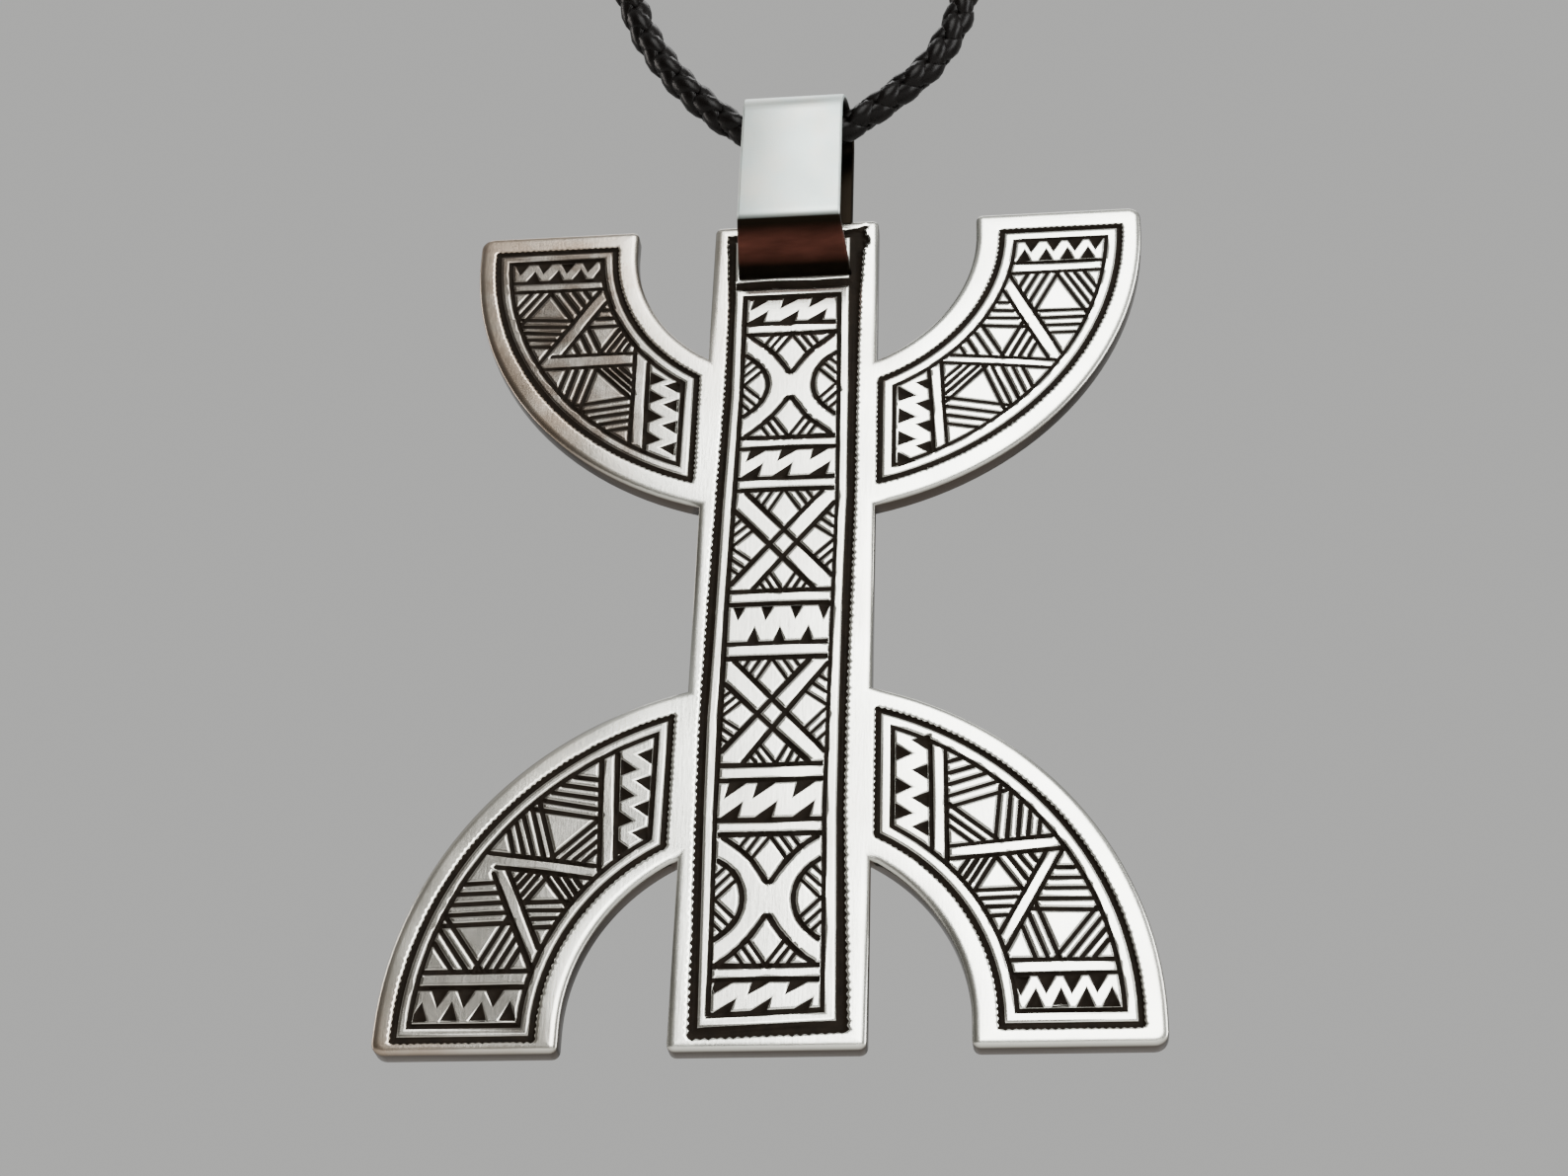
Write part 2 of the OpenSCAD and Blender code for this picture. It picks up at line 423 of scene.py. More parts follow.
def rib(start, end, width, walls, line_w):
    """A plain strip between two lines, which are added to the walls."""
    start, end = Vector(start), Vector(end)
    side = (end - start).normalized().orthogonal() * (width + line_w) / 2
    lines = []
    for way in (1, -1):
        a, b = start + way * side, end + way * side
        a, b = met(b, a, walls, RIB_DRAWN_OUT), met(a, b, walls, RIB_DRAWN_OUT)
        groove([a, (a + b) / 2, b], line_w)
        lines.append((a, b))
    walls.extend(lines)


def teeth(start, end, height, bases, reaches, lean, hanging, standing):
    """Wedges on both sides of a band. It runs from start to end, with its far side on the right.
    hanging and standing say where the wedges' roots are, as shares of the run."""
    start, end = Vector(start), Vector(end)
    run = end - start
    along = run.normalized()
    across = Vector((along.y, -along.x))
    back = 0.1
    for shares, line, way, base, reach in (
            (hanging, 0, 1, bases[0], reaches[0]), (standing, height, -1, bases[1], reaches[1])):
        for share in shares:
            root = start + run * share + across * (line - way * back)
            tip = start + run * share + across * (line + way * reach * height) - along * way * lean
            wedge(root - along * base / 2, root + along * base / 2, tip)


def ring_cut(outer, inner, bottom):
    """A cut between two closed lines, deepest along a third."""
    cuts.append([outer, inner])
    spines.append((bottom, True))


def toothed(loop, pitch, bite):
    """The closed loop, clockwise, with teeth that stand out from it."""
    points = resampled(loop, pitch / 2)
    spines.append((shifted(points, 0.06)[1::2], True))
    return shifted(points, [-bite * (i % 2) * HAND.uniform(0.6, 1.3) for i in range(len(points))])


# The bar's field. Each row of the chart gives a height and where the two border lines run there.
BAR_CHART = [
    # height, then where each line begins and ends: thick and thin on the left, thin and thick on the right
    (37.6, -5.0, -4.4, -3.8, -3.35, 3.0, 3.45, 3.9, 5.0),
    (31.0, -4.65, -4.2, -3.75, -3.3, 3.05, 3.45, 3.9, 4.7),
    (23.0, -4.65, -4.1, -3.65, -3.3, 3.2, 3.55, 4.0, 4.65),
    (14.0, -4.85, -4.3, -3.8, -3.4, 3.3, 3.6, 4.05, 4.65),
    (5.0, -5.0, -4.4, -3.95, -3.55, 3.15, 3.45, 3.9, 4.5),
    (-3.0, -5.1, -4.55, -4.0, -3.55, 3.05, 3.35, 3.85, 4.35),
    (-10.0, -5.0, -4.45, -3.95, -3.6, 2.95, 3.3, 3.85, 4.35),
    (-18.0, -4.8, -4.25, -3.8, -3.45, 3.1, 3.4, 4.0, 4.6),
    (-25.0, -4.7, -4.1, -3.75, -3.35, 3.15, 3.5, 4.1, 4.85),
]
# Where the borders are closed at the top and at the bottom: the heights on the left and on the right of the
# line's outer side, then of its inner side
THICK_ENDS = [((37.6, 37.6), (-25.1, -24.8)), ((36.95, 36.95), (-24.35, -24.0))]
THIN_ENDS = [((31.95, 31.9), (-23.85, -23.55)), ((31.5, 31.45), (-23.4, -23.15))]
TOOTH_PITCH = 0.5
TOOTH_BITE = 0.15

SLANTED_BANDS = [
    # top, bottom, places of the hanging wedges and of the standing wedges
    (31.65, 29.30, (-2.1, 0.05, 2.1), (-2.9, -0.65, 1.35)),
    (18.25, 15.80, (-1.9, 0.3, 2.5), (-2.8, -0.7, 1.9)),
    (-7.75, -10.5, (-2.2, -0.4, 2.1), (-3.1, -0.9, 1.5)),
    (-21.4, -23.5, (-2.5, -0.2, 2.1), (-2.95, -0.75, 1.7)),
]
STEEP_BAND = (5.4, 2.5, (-2.85, -1.0, 0.95, 2.8), (-1.9, -0.2, 1.65))
BAR_RIBS = [(29.05, 28.5), (18.95, 18.45), (15.5, 14.95), (6.3, 5.7), (2.25, 1.55), (-6.8, -7.5),
            (-10.75, -11.35), (-20.65, -21.15)]
CURVED_PANELS = [(28.3, 19.15), (-11.55, -20.45)]
# From a curved panel's middle: the right half of its upper curve, up to the end that depends on its height,
# and its right-hand curve
UPPER_CURVE = [(0, 0.95), (0.6, 1.9), (1.3, 2.85), (2.2, 3.75)]
SIDE_CURVE = [(3.35, 2.8), (2.4, 2.05), (1.78, 1.1), (1.58, 0), (1.82, -1.1), (2.45, -2.05), (3.35, -2.8)]
STRAIGHT_PANELS = [
    # top, bottom, the four lines that cross: the upper two, then the lower two
    (14.95, 6.3, ((-3.0, 14.8), (3.05, 7.8)), ((2.5, 14.65), (-3.5, 7.2)),
     ((-3.45, 13.05), (2.25, 6.45)), ((3.25, 13.5), (-2.2, 6.5))),
    (1.55, -6.8, ((-3.05, 1.15), (3.0, -5.65)), ((2.0, 1.3), (-3.6, -5.6)),
     ((-3.45, -0.7), (2.3, -6.7)), ((2.95, 0.6), (-2.2, -6.45))),
]
ROUGH_CORNER = [
    # start, end and width of the deep strokes in the border's upper right corner
    ((3.4, 37.3), (4.9, 37.5), 0.8),
    ((4.6, 37.9), (4.75, 35.6), 0.8),
    ((4.9, 37.2), (5.3, 36.2), 0.5),
    ((4.4, 37.6), (5.25, 38.0), 0.4),
]


def bar_at(height, *columns):
    """The place on the bar, at a height, in the middle between some columns of the chart."""
    heights = [row[0] for row in BAR_CHART][::-1]
    return float(np.mean([np.interp(height, heights, [row[c] for row in BAR_CHART][::-1]) for c in columns]))


def bar_loop(left, right, tops, bottoms):
    """A closed line round the bar's field, clockwise. left and right are columns of the chart."""
    between_ends = [row[0] for row in BAR_CHART if bottoms[0] + 1 < row[0] < tops[0] - 1]
    heights = [tops[1]] + between_ends + [bottoms[1]]
    line = [Vector((bar_at(h, *right), h)) for h in heights]
    heights = [bottoms[0]] + between_ends[::-1] + [tops[0]]
    return line + [Vector((bar_at(h, *left), h)) for h in heights]


def bar_border(left, right, ends):
    """A border line of the bar's field: its outer edge, its inner edge and its middle."""
    (out_top, out_bottom), (in_top, in_bottom) = ends
    top = [(a + b) / 2 for a, b in zip(out_top, in_top)]
    bottom = [(a + b) / 2 for a, b in zip(out_bottom, in_bottom)]
    return (bar_loop(left[:1], right[1:], out_top, out_bottom),
            bar_loop(left[1:], right[:1], in_top, in_bottom),
            bar_loop(left, right, top, bottom))


def bar_line(height):
    """A line across the bar's field at a height, between its thin border lines."""
    left, right = bar_at(height, 3, 4), bar_at(height, 5, 6)
    groove([(left, height), ((left + right) / 2, height), (right, height)])


def panel_walls(top, bottom):
    """The four lines round a panel of the bar."""
    return sides_of([Vector((bar_at(z, *columns), z)) for z, columns in
                     ((top, (3, 4)), (top, (5, 6)), (bottom, (5, 6)), (bottom, (3, 4)))])


def curved_panel(top, bottom):
    """A plain X with curved sides, and strokes beside a plain diamond in each of its four gaps."""
    middle = (top + bottom) / 2
    half = (top - bottom) / 2
    across = bar_at(middle, 3, 6)

    def turned(points, x_way, z_way):
        return [(across + x_way * x, middle + z_way * z) for x, z in points]

    walls = panel_walls(top + LINE_W / 2, bottom - LINE_W / 2)
    curves, corners = [], []
    for way in (1, -1):
        for turn in (-1, 1):
            curves.append(turned(UPPER_CURVE + [(3.1, half - 0.05)], turn, way))
            corners.append((turned([(2.95, half), (0.08, half - 0.2), (1.15, 2.7)], turn, way), 1.6))
        for turn in (-1, 1):
            corners.append((turned([(3.3, 2.75), (3.2, 0.08), (2.0, 1.3)], way, turn), 0.35))
        curves.append(turned(SIDE_CURVE, way, 1))
    for curve in curves:
        groove(curve, curved=True)
        line = bent(curve)
        walls += list(zip(line, line[1:]))
    for places, spare in corners:
        hatch(*places, 3, walls, FINE_W, spare)


def straight_panel(top, bottom, *crossing):
    """Two plain strips that cross, and strokes beside a plain diamond in each of the four gaps."""
    box = panel_walls(top - LINE_W / 2, bottom + LINE_W / 2)
    walls = list(box)
    lines = []
    for a, b in crossing:
        a, b = Vector(a), Vector(b)
        a, b = met(b, a, box, RIB_DRAWN_OUT), met(a, b, box, RIB_DRAWN_OUT)
        groove([a, (a + b) / 2, b])
        lines.append((a, b))
    walls += lines
    for i, j, first, second in ((0, 1, 0, 0), (2, 3, 1, 1), (2, 1, 0, 1), (0, 3, 1, 0)):
        apex = Vector(intersect_line_line_2d(*lines[i], *lines[j]))
        a, b = lines[i][first], lines[j][second]
        for corner in (a, b):
            hatch(corner, (a + b) / 2, corner.lerp(apex, 0.58), 3, walls, FINE_W, 0.8)


def engrave_bar():
    outer, inner, bottom = bar_border((1, 2), (7, 8), THICK_ENDS)
    ring_cut(toothed(outer, TOOTH_PITCH, TOOTH_BITE), inner, bottom)
    ring_cut(*bar_border((3, 4), (5, 6), THIN_ENDS))
    left, right = bar_at(32.8, 1), bar_at(32.8, 8)
    groove([(left + 0.2, 32.8), (-1.5, 32.85), (1.5, 32.75), (right - 0.2, 32.8)], 0.8)
    for (x, z), (end_x, end_z), width in ROUGH_CORNER:
        groove([(x, z), (end_x, end_z)], width)
    for top, bottom in BAR_RIBS:
        bar_line(top + LINE_W / 2)
        bar_line(bottom - LINE_W / 2)
    for bands, bases, reaches, lean in ((SLANTED_BANDS, (1.45, 1.4), (0.49, 0.51), 1.1),
                                        ([STEEP_BAND], (1.0, 0.95), (0.44, 0.48), 0.1)):
        for top, bottom, hanging, standing in bands:
            teeth((0, top), (1, top), top - bottom, bases, reaches, lean, hanging, standing)
    for top, bottom in CURVED_PANELS:
        curved_panel(top, bottom)
    for panel in STRAIGHT_PANELS:
        straight_panel(*panel)


# The arms' fields. Each has three cells, with a hatched triangle in each, ribs between them and a toothed
# band at each end. tip is the height of the field's end. margins are those to the plate's inner and outer
# side, at the tip and at the root. border gives the thick line, the rib and the thin line round the field.
# strokes gives the width of the lines beside the ribs and of the hatching. A cell gives its corners, those
# of the plain triangle in it, and how many strokes there are in each corner.
ARM_TOOTH_PITCH = 0.42
ARM_TOOTH_BITE = 0.1
ARMS = [
    dict(outer_r=UPPER_OUTER_R, shift=UPPER_SHIFT, side=1, level=1, edge=6.1, tip=37.0,
         margins=((1.68, 1.58), (1.33, 1.63)), border=(0.44, 0.54, 0.33), strokes=(0.32, 0.31),
         tip_rib=((15.7, 33.3), (21.8, 33.3), 0.6),
         tip_band=(35.85, 33.9, (17.1, 18.7, 20.2, 21.7), (16.45, 18.0, 19.5, 21.0)),
         upright=((10.1, 25.0), (10.45, 17.8), 0.55), cross=((11.0, 25.4), (17.6, 24.65), 0.4),
         diagonal=((15.25, 31.9), (18.2, 25.8), 0.66),
         cells=(
             (((15.7, 32.7), (21.6, 32.7), (19.0, 26.4)),
              ((18.8, 32.6), (20.6, 29.3), (17.1, 29.3)), (4, 4, 4)),
             (((14.7, 31.2), (11.0, 25.95), (17.4, 25.2)),
              ((13.4, 28.2), (14.8, 25.5), (16.1, 28.0)), (4, 4, 4)),
             (((11.1, 24.9), (17.2, 24.1), (11.1, 18.7)),
              ((13.5, 24.4), (14.7, 21.2), (11.1, 21.95)), (4, 5, 4))),
         root_band=(7.6, 9.85, (22.5, 20.6, 18.7, 16.9), (23.2, 21.4, 19.6, 17.8))),
    dict(outer_r=UPPER_OUTER_R, shift=UPPER_SHIFT, side=-1, level=1, edge=6.5, tip=37.1,
         margins=((1.43, 1.68), (1.23, 1.83)), border=(0.45, 0.5, 0.38), strokes=(0.36, 0.35),
         tip_rib=((-20.2, 33.65), (-14.1, 33.65), 0.5),
         tip_band=(35.9, 34.15, (-20.2, -18.5, -16.8, -15.2), (-19.3, -17.6, -15.9, -14.4)),
         upright=((-10.75, 27.4), (-10.65, 18.9), 0.68), cross=((-17.4, 26.55), (-11.4, 26.6), 0.74),
         diagonal=((-13.7, 32.9), (-17.3, 27.0), 0.7),
         cells=(
             (((-14.2, 33.1), (-20.2, 33.1), (-17.8, 27.2)),
              ((-17.9, 33.0), (-19.5, 30.6), (-16.1, 30.35)), (4, 3, 5)),
             (((-13.5, 32.2), (-11.3, 27.3), (-16.5, 27.3)),
              ((-12.4, 29.7), (-13.8, 27.3), (-14.9, 29.7)), (3, 4, 3)),
             (((-17.0, 25.9), (-11.4, 25.9), (-11.4, 19.6)),
              ((-14.0, 25.9), (-11.4, 23.15), (-14.8, 22.7)), (4, 4, 5))),
         root_band=(-10.1, -7.9, (24.8, 23.2, 21.5, 19.6), (23.9, 22.25, 20.4, 18.5))),
    dict(outer_r=LOWER_OUTER_R, shift=LOWER_SHIFT, side=1, level=-1, edge=6.25, tip=-24.75,
         margins=((1.57, 1.42), (1.37, 1.37)), border=(0.42, 0.53, 0.35), strokes=(0.34, 0.34),
         tip_rib=((15.0, -20.8), (20.6, -20.8), 0.52),
         tip_band=(-21.3, -23.4, (15.2, 16.7, 18.2, 19.7), (15.9, 17.4, 18.9, 20.4)),
         upright=((10.2, -5.3), (10.35, -13.4), 0.6), cross=((10.9, -13.1), (17.3, -12.5), 0.56),
         diagonal=((17.3, -13.2), (14.1, -19.2), 0.5),
         cells=(
             (((20.7, -20.1), (15.0, -20.1), (17.9, -13.3)),
              ((17.4, -20.0), (16.3, -17.0), (19.7, -17.1)), (4, 3, 5)),
             (((16.7, -13.0), (11.3, -13.7), (13.9, -18.2)),
              ((13.8, -13.4), (12.4, -15.7), (15.3, -15.6)), (4, 4, 4)),
             (((11.0, -5.6), (17.3, -12.1), (11.0, -12.3)),
              ((14.1, -9.0), (13.8, -12.2), (11.1, -9.9)), (5, 5, 3))),
         root_band=(7.5, 9.65, (-5.9, -8.3, -10.1), (-5.3, -7.4, -9.4, -11.4))),
    dict(outer_r=LOWER_OUTER_R, shift=LOWER_SHIFT, side=-1, level=-1, edge=6.75, tip=-25.15,
         margins=((1.42, 0.97), (1.17, 1.52)), border=(0.44, 0.45, 0.38), strokes=(0.4, 0.37),
         tip_rib=((-21.1, -21.05), (-14.9, -21.05), 0.6),
         tip_band=(-21.65, -23.7, (-20.1, -18.5, -16.7), (-21.3, -19.4, -17.6, -15.8)),
         upright=((-10.75, -6.2), (-10.4, -13.6), 0.6), cross=((-17.5, -12.95), (-10.9, -13.95), 0.48),
         diagonal=((-17.2, -13.6), (-14.5, -19.6), 0.52),
         cells=(
             (((-15.1, -20.1), (-21.0, -20.1), (-18.3, -13.6)),
              ((-18.0, -20.1), (-19.9, -17.4), (-16.6, -17.3)), (4, 3, 5)),
             (((-16.7, -14.0), (-11.3, -14.7), (-14.0, -18.4)),
              ((-14.2, -14.2), (-13.0, -15.9), (-15.4, -15.9)), (4, 4, 4)),
             (((-11.3, -6.5), (-10.95, -13.3), (-17.3, -12.3)),
              ((-11.1, -10.2), (-13.9, -12.8), (-14.9, -9.5)), (5, 4, 5))),
         root_band=(-10.0, -8.0, (-6.5, -8.4, -10.2, -12.2), (-5.8, -7.7, -9.55, -11.4))),
]


def arm_loop(arm, inset):
    """The outline of an arm's field, clockwise, drawn in by a distance."""
    side, level = arm["side"], arm["level"]
    (near_tip, near_root), (far_tip, far_root) = arm["margins"]
    hi = level * (arm["tip"] - CHART_RISE) - inset
    root = arm["edge"] + inset
    lines = []
    near = INNER_R + (near_tip + near_root) / 2 + inset
    far = arm["outer_r"] - (far_tip + far_root) / 2 - inset
    for radius, off, step in ((near, (near_tip - near_root) / 2, 4), (far, (far_root - far_tip) / 2, 3)):
        cx, cz = side * arm["shift"] + off, TOP_Z - TIP_RUN + off
        end = -math.degrees(math.asin(max(0, cz - hi) / radius))
        line = arc((cx, cz), radius, drop_angle(radius, cx, root), end, step)[:-1]
        lines.append(line + [(cx + radius * math.cos(math.radians(end)), hi)])
    points = [Vector((side * x, level * z + CHART_RISE)) for x, z in lines[0] + lines[1][::-1]]
    return points if side * level > 0 else points[::-1]


def engrave_arm(arm):
    thick, plain, thin = arm["border"]
    line_w, hatch_w = arm["strokes"]
    inner = thick + plain
    edge = arm_loop(arm, inner + thin / 2)
    outer = toothed(arm_loop(arm, 0), ARM_TOOTH_PITCH, ARM_TOOTH_BITE)
    ring_cut(outer, arm_loop(arm, thick), arm_loop(arm, thick / 2))
    ring_cut(arm_loop(arm, inner), arm_loop(arm, inner + thin), edge)
    walls = sides_of(edge)
    for name in ("tip_rib", "upright", "cross", "diagonal"):
        rib(*arm[name], walls, line_w)
    for corners, plain_corners, counts in arm["cells"]:
        hatched_triangle(corners, plain_corners, counts, walls, hatch_w)
    top, bottom, hanging, standing = arm["tip_band"]
    teeth((0, top), (1, top), top - bottom, (1.32, 1.2), (0.64, 0.64), 0.1, hanging, standing)
    near, far, hanging, standing = arm["root_band"]
    teeth((near, 0), (near, 1), far - near, (1.45, 1.3), (0.56, 0.54), 0.2, hanging, standing)


def cut_depths(points, loops_of_cuts):
    """How deep the engraving is at each point: the deepest of the cuts that it lies in."""
    depths = np.zeros(len(points))
    for loops in loops_of_cuts:
        starts = np.array([p for loop in loops for p in loop], float)
        ends = np.array([p for loop in loops for p in loop[1:] + loop[:1]], float)
        lo, hi = starts.min(0), starts.max(0)
        near = np.nonzero(((points > lo) & (points < hi)).all(1))[0]
        if not len(near):
            continue
        p = points[near][:, None, :]
        run = ends - starts
        share = ((p - starts) * run).sum(2) / np.maximum((run ** 2).sum(1), 1e-12)
        gap = p - starts - np.clip(share, 0, 1)[:, :, None] * run
        distance = np.sqrt((gap ** 2).sum(2)).min(1)
        rises = (starts[:, 1] > p[:, :, 1]) != (ends[:, 1] > p[:, :, 1])
        with np.errstate(divide="ignore", invalid="ignore"):
            cross_x = starts[:, 0] + (p[:, :, 1] - starts[:, 1]) * run[:, 0] / run[:, 1]
        inside = (rises & (cross_x > p[:, :, 0])).sum(1) % 2 == 1
        found = np.where(inside, np.minimum(CUT_LIMIT, distance * CUT_SLOPE), 0)
        depths[near] = np.maximum(depths[near], found)
    return depths


def lowered(loop):
    return [Vector((p.x, p.y - CHART_RISE)) for p in loop]


def beside(loop, distance):
    """The points of a closed line moved outwards, or inwards for a distance below 0."""
    turn = sum(a.cross(b) for a, b in sides_of(loop))
    moved = shifted(loop, distance if turn > 0 else -distance)
    return [p + (q - p) * min(1, 1.5 * abs(distance) / (q - p).length) for p, q in zip(loop, moved)]


def engraved_front(rim):
    """Points, triangles and depths of the plate's front inside the rim, and the rim's point numbers."""
    points, edges = [], []

    def add(loop, closed):
        first = len(points)
        points.extend(loop)
        count = len(loop)
        edges.extend((first + k, first + (k + 1) % count) for k in range(count if closed else count - 1))

    add(rim, True)
    placed = [[lowered(loop) for loop in loops] for loops in cuts]
    for loops in placed:
        for loop, way in zip(loops, (1, -1)):
            add(loop, True)
            add(beside(loop, way * SHOULDER), True)
    for line, closed in spines:
        add(lowered(line), closed and len(line) > 2)
    made, _, triangles, origins, _, _ = delaunay_2d_cdt(points, edges, [], 1, 1e-5)
    flat = np.array([tuple(p) for p in made])
    number = {old: new for new, olds in enumerate(origins) for old in olds}
    rim_numbers = [number[k] for k in range(len(rim))]
    depths = cut_depths(flat, placed)
    faces = [tuple(t) for t in triangles]
    corners = np.array(faces)
    centres = flat[corners].mean(1)
    centre_depths = cut_depths(centres, placed)
    lacking = centre_depths - depths[corners].mean(1) > MISSED_DEPTH
    kept, extra, extra_depths = [], [], []
    for face, centre, depth, lacks in zip(faces, centres, centre_depths, lacking):
        if lacks:
            middle = len(flat) + len(extra)
            extra.append(centre)
            extra_depths.append(depth)
            kept += [(face[k], face[(k + 1) % 3], middle) for k in range(3)]
        else:
            kept.append(face)
    if extra:
        flat = np.concatenate([flat, extra])
        depths = np.concatenate([depths, extra_depths])
    return flat, kept, depths, rim_numbers


# Duller tint and painted shade in the engraved fields, and painted brownish shade and reflection on the
# rims, both more towards the left. Each row has places across the plate and the shares there, then heights
# and their shares.
FIELD_DULL_AND_SHADE_ROWS = ((-11.8, -9.2, -4, 5, 8), (0.97, 0.55, 0.35, 0.3, 0.05), (-12, 12), (0.68, 1))
RIM_PAINTED_SHADE_ROWS = [
    ((-16, -9), (1, 0), (-12, 12), (0.3, 1)),
    ((-18, -9, -5, -3), (1, 0.5, 0.5, 0), (13, 22), (0, 1)),
    ((-24, -13, -7), (1, 0.35, 0), (-32, -22), (1, 0)),
]
BACK_DULL = 0.45
SIDE_GAIN = 0.8        # power of the height at which the painted shade on the side grows over the front rounding


def dullness_and_painted_shade(points):
    """How much duller tint with painted shade the engraved fields get at each point, and how much painted
    brownish shade and reflection the rims get, both more towards the left.
    """
    fields = [bar_border((1, 2), (7, 8), THICK_ENDS)[0]] + [arm_loop(arm, 0) for arm in ARMS]
    field = cut_depths(points, [[lowered(loop)] for loop in fields]) / CUT_LIMIT
    x, z = points.T

    def share(xs, x_shares, zs, z_shares):
        return np.interp(x, xs, x_shares) * np.interp(z, zs, z_shares)

    return field * share(*FIELD_DULL_AND_SHADE_ROWS), (1 - field) * np.maximum.reduce([share(*row) for row in RIM_PAINTED_SHADE_ROWS])


def make_plate():
    outline = plate_outline()
    steps = 6
    quarter = [math.pi / 2 * k / steps for k in range(1, steps + 1)]
    flat, faces, depths, ring = engraved_front(shifted(outline, RIM_WIDE))
    points = [(x, d, z) for (x, z), d in zip(flat, depths)]
    front_faces = len(faces)

    def add_ring(inset, y):
        first = len(points)
        points.extend((p.x, y, p.y) for p in shifted(outline, inset))
        return list(range(first, first + len(outline)))

    rings = [ring]
    rings += [add_ring(RIM_WIDE * (1 - math.sin(a)), RIM_DEEP * (1 - math.cos(a))) for a in quarter]
    rings += [add_ring(BACK_ROUND * (1 - math.cos(a)), PLATE_T - BACK_ROUND * (1 - math.sin(a)))
              for a in [0] + quarter]
    count = len(outline)
    for upper, lower in zip(rings, rings[1:]):
        faces += [(upper[k], upper[(k + 1) % count], lower[(k + 1) % count], lower[k]) for k in range(count)]
    smooth_faces = len(faces) - front_faces
    back = [Vector((points[k][0], points[k][2])) for k in rings[-1]]
    _, _, triangles, origins, _, _ = delaunay_2d_cdt(
        back, [(k, (k + 1) % count) for k in range(count)], [], 1, 1e-5)
    old = {new: olds[0] for new, olds in enumerate(origins)}
    faces += [tuple(rings[-1][old[k]] for k in t)[::-1] for t in triangles]
    plate = mesh_object("engraved_plate", points, faces, PENDANT)
    smooth = [k < front_faces + smooth_faces for k in range(len(faces))]
    plate.data.polygons.foreach_set("use_smooth", smooth)
    ink = np.zeros(len(points))
    ink[:len(depths)] = np.minimum(1, depths / INK_DEPTH)
    height = np.array([p[1] for p in points])
    # Painted shade on the plate's side faces, which grows over the front rounding.
    side = np.clip(height / RIM_DEEP, 0, 1) ** SIDE_GAIN * (height < PLATE_T - BACK_ROUND / 2)
    side[:len(depths)] = 0
    dull, warm = dullness_and_painted_shade(np.array([(p[0], p[2]) for p in points]))
    front = height < PLATE_T / 2
    paint(plate, cut=ink, side=side, dull=np.where(front, dull, BACK_DULL), warm=warm * front)
    return plate


# The bail
STRIP_ROUND = 0.19     # radius of the strip's rounded edges
STRIP_STEP = 0.15      # distance between two sections of the strip
LEG_SUNK = 0.3         # how far the back leg runs into the plate
FOLD_LENGTH = 0.75     # length of the strip in its fold
PAINTED_SHADE_FADE = 0.2       # length over which the painted shade fades out at the fold
PAINTED_REFLECTION_AT = 0.56        # place of the painted brown reflection on the way from the foot to the fold
PAINTED_REFLECTION_REACH = 0.32     # how far the painted brown reflection reaches from there


def bail_line():
    """The middle of the strip from its foot on the plate to the plate's top edge, as (y, z) points."""
    fold_z, foot_z = TOP_Z - FOLD_DROP, TOP_Z - FOOT_DROP
    fold_r = 1.5 * STRIP_T
    front = -BAIL_GAP - STRIP_T / 2
    bend = (front + fold_r, fold_z + 2 * STRIP_T)
    rise = math.degrees(math.atan2(fold_z - foot_z, BAIL_GAP - STRIP_T))
    low = arc(bend, fold_r, -90 - rise, -180, 12)
    slope = math.radians(-rise)
    run = (STRIP_T / 2 - low[0][0]) / math.cos(slope)
    foot = (low[0][0] + run * math.cos(slope), low[0][1] + run * math.sin(slope))
    over = arc((-BAIL_R, ARCH_Z), BAIL_R + STRIP_T / 2, 180, 0, 9)
    return [foot] + low + over + [(STRIP_T / 2, TOP_Z - LEG_SUNK)]


def bail_width(y):
    """The strip's width at a depth y, as it widens from the front to the back."""
    share = min(1, max(0, (y + BAIL_GAP + STRIP_T) / (BAIL_GAP + STRIP_T)))
    return BAIL_FRONT_W + (BAIL_BACK_W - BAIL_FRONT_W) * share


def make_bail():
    line = [Vector(p) for p in bail_line()]
    fine = resampled(line, STRIP_STEP, closed=False)
    rings = []
    for i, p in enumerate(fine):
        before, after = fine[max(0, i - 1)], fine[min(len(fine) - 1, i + 1)]
        way = (after - before).normalized()
        out = Vector((-way.y, way.x))
        half_w, half_t = bail_width(p.x) / 2 - STRIP_ROUND, STRIP_T / 2 - STRIP_ROUND
        ring = []
        for start, side, face in ((0, 1, 1), (90, -1, 1), (180, -1, -1), (270, 1, -1)):
            for x, t in arc((side * half_w, face * half_t), STRIP_ROUND, start, start + 90, 30):
                q = p + out * t
                ring.append((x, q.x, q.y))
        rings.append(ring)
    points, faces = skin(rings)
    bail = mesh_object("bail_strip", points, faces, PENDANT)
    fold_at = (line[1] - line[0]).length + FOLD_LENGTH
    # The inner side and the underside up to the fold get painted shade, with a painted brown reflection part
    # way up.
    dull, glow = [], []
    for i, ring in enumerate(rings):
        run = i * STRIP_STEP
        under = min(1, max(0, (fold_at - run) / PAINTED_SHADE_FADE))
        for k in range(len(ring)):
            dull.append(1.0 if k >= len(ring) // 2 else under)
            glow.append(max(0, 1 - ((run / fold_at - PAINTED_REFLECTION_AT) / PAINTED_REFLECTION_REACH) ** 2))
    paint(bail, dull=dull, glow=glow)
    return bail


